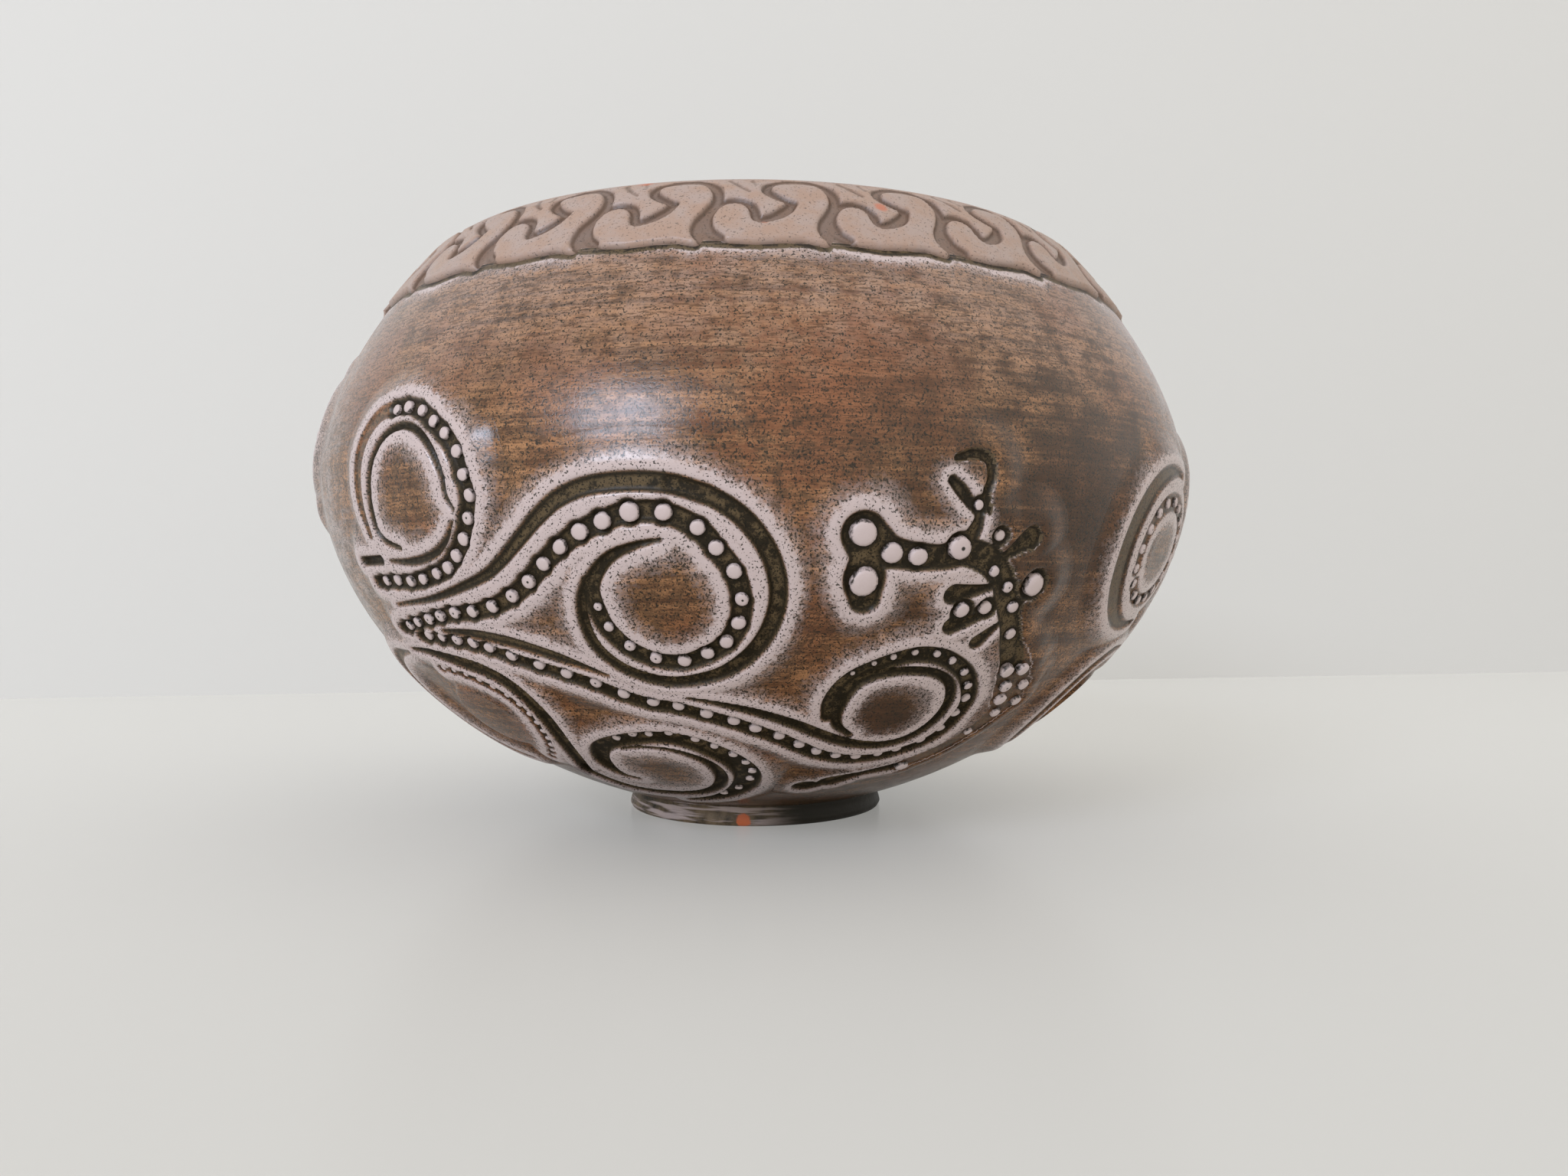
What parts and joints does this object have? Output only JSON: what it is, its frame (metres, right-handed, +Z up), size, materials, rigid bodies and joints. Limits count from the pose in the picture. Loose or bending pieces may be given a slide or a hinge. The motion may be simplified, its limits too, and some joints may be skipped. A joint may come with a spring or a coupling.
{
  "type": "terracotta vase",
  "caption": "Wide round-bellied terracotta vase on a low foot ring, with a curling wave border under the lip and beaded scrolls and leaf sprays on the wall; holds flowers or stands alone",
  "frame": {"origin": "on the table, under the middle of the foot ring", "axes": "+Z up along the axis of the vase; the pictured side faces -Y"},
  "size_m": [0.1834, 0.1824, 0.115],
  "materials": {
    "foot_clay": "bare turned terracotta, darkened, with an orange chip",
    "body_clay": "brown slip over terracotta, brushed and rubbed to a soft sheen",
    "rim_clay": "greyish pink slip, rubbed, with small chips",
    "carved_slip": "dark green-brown stain in the carving, pale rubbed edges and beads",
    "wave_slip": "pale pinkish slip, rubbed smooth"
  },
  "bodies": {
    "root": {"foot_ring": "foot_clay", "thrown_body": "body_clay", "rim_collar": "rim_clay", "shoulder_scroll_01": "carved_slip", "shoulder_scroll_02": "carved_slip", "shoulder_scroll_03": "carved_slip", "main_scroll_01": "carved_slip", "main_scroll_02": "carved_slip", "main_scroll_03": "carved_slip", "trailing_scroll_01": "carved_slip", "trailing_scroll_02": "carved_slip", "trailing_scroll_03": "carved_slip", "lower_scroll_01": "carved_slip", "lower_scroll_02": "carved_slip", "lower_scroll_03": "carved_slip", "side_scroll_01": "carved_slip", "side_scroll_02": "carved_slip", "side_scroll_03": "carved_slip", "root_scroll_01": "carved_slip", "root_scroll_02": "carved_slip", "root_scroll_03": "carved_slip", "leaf_spray_01": "carved_slip", "leaf_spray_02": "carved_slip", "leaf_spray_03": "carved_slip", "rim_wave_01": "wave_slip", "rim_wave_02": "wave_slip", "rim_wave_03": "wave_slip", "rim_wave_04": "wave_slip", "rim_wave_05": "wave_slip", "rim_wave_06": "wave_slip", "rim_wave_07": "wave_slip", "rim_wave_08": "wave_slip", "rim_wave_09": "wave_slip", "rim_wave_10": "wave_slip", "rim_wave_11": "wave_slip", "rim_wave_12": "wave_slip", "rim_wave_13": "wave_slip", "rim_wave_14": "wave_slip", "rim_wave_15": "wave_slip", "rim_wave_16": "wave_slip", "rim_wave_17": "wave_slip", "rim_wave_18": "wave_slip", "rim_wave_19": "wave_slip", "rim_wave_20": "wave_slip", "rim_wave_21": "wave_slip", "rim_wave_22": "wave_slip", "rim_wave_23": "wave_slip", "rim_wave_24": "wave_slip"}
  },
  "joints": []
}
